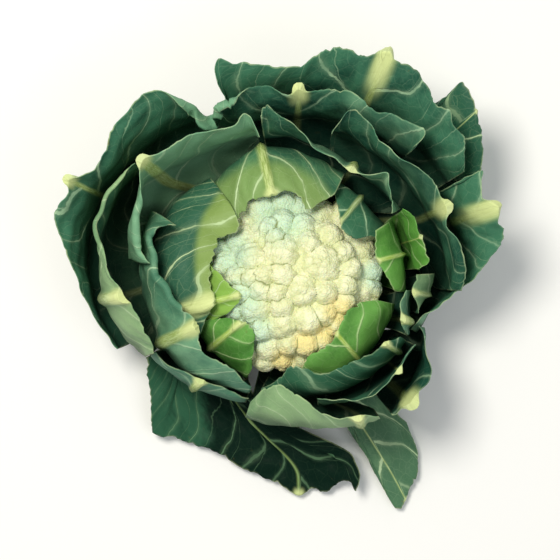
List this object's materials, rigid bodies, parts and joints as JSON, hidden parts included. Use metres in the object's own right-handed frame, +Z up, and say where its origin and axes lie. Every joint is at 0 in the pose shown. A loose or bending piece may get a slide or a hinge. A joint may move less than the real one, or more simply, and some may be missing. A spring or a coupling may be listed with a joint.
{
  "type": "cauliflower head",
  "caption": "Whole cauliflower head: domed curd of rounded florets on a short cut stem, cupped by layered trimmed leaves with thick pale midribs.",
  "frame": {"origin": "centre of the stem's cut face, which the head stands on", "axes": "+Z up through the middle of the curd, out of the side opposite the cut face; +X to the right and +Y to the top of the picture, which looks straight down"},
  "size_m": [0.3778, 0.398, 0.154],
  "materials": {
    "stem_green": "pale green rind, fibrous cut face",
    "curd_ivory": "finely grained, matt",
    "leaf_bright_green": "waxy leaf with pale veins",
    "leaf_yellow_green": "waxy leaf with pale veins",
    "leaf_mid_green": "waxy leaf with pale veins",
    "leaf_blue_green": "waxy leaf with pale veins",
    "leaf_grey_green": "waxy leaf with pale veins",
    "leaf_dark_green": "waxy leaf with pale veins"
  },
  "bodies": {
    "root": {"stem": "stem_green", "curd": "curd_ivory", "leaf_01_inner_left": "leaf_bright_green", "leaf_02_inner_lower_left": "leaf_bright_green", "leaf_03_inner_lower_right": "leaf_bright_green", "leaf_04_inner_upper_right": "leaf_mid_green", "leaf_05_inner_right": "leaf_bright_green", "leaf_06_upper": "leaf_yellow_green", "leaf_07_left": "leaf_yellow_green", "leaf_08_lower": "leaf_mid_green", "leaf_09_right_upright": "leaf_bright_green", "leaf_10_upper_right": "leaf_blue_green", "leaf_11_left_hooded": "leaf_blue_green", "leaf_12_right_folded": "leaf_blue_green", "leaf_13_lower_right_cup": "leaf_blue_green", "leaf_14_lower_wrapped": "leaf_grey_green", "leaf_15_upper_left": "leaf_blue_green", "leaf_16_right_lobe": "leaf_grey_green", "leaf_17_right_wide": "leaf_blue_green", "leaf_18_lower_left_low": "leaf_blue_green", "leaf_19_left_folded": "leaf_grey_green", "leaf_20_top_inner": "leaf_blue_green", "leaf_21_right_cut": "leaf_blue_green", "leaf_22_lower_right_cut": "leaf_blue_green", "leaf_23_top_outer": "leaf_blue_green", "leaf_24_left_outer": "leaf_blue_green", "leaf_25_top_right_pointed": "leaf_grey_green", "leaf_26_lower_right_hanging": "leaf_grey_green", "leaf_27_lower_left_lying": "leaf_dark_green"}
  },
  "joints": []
}
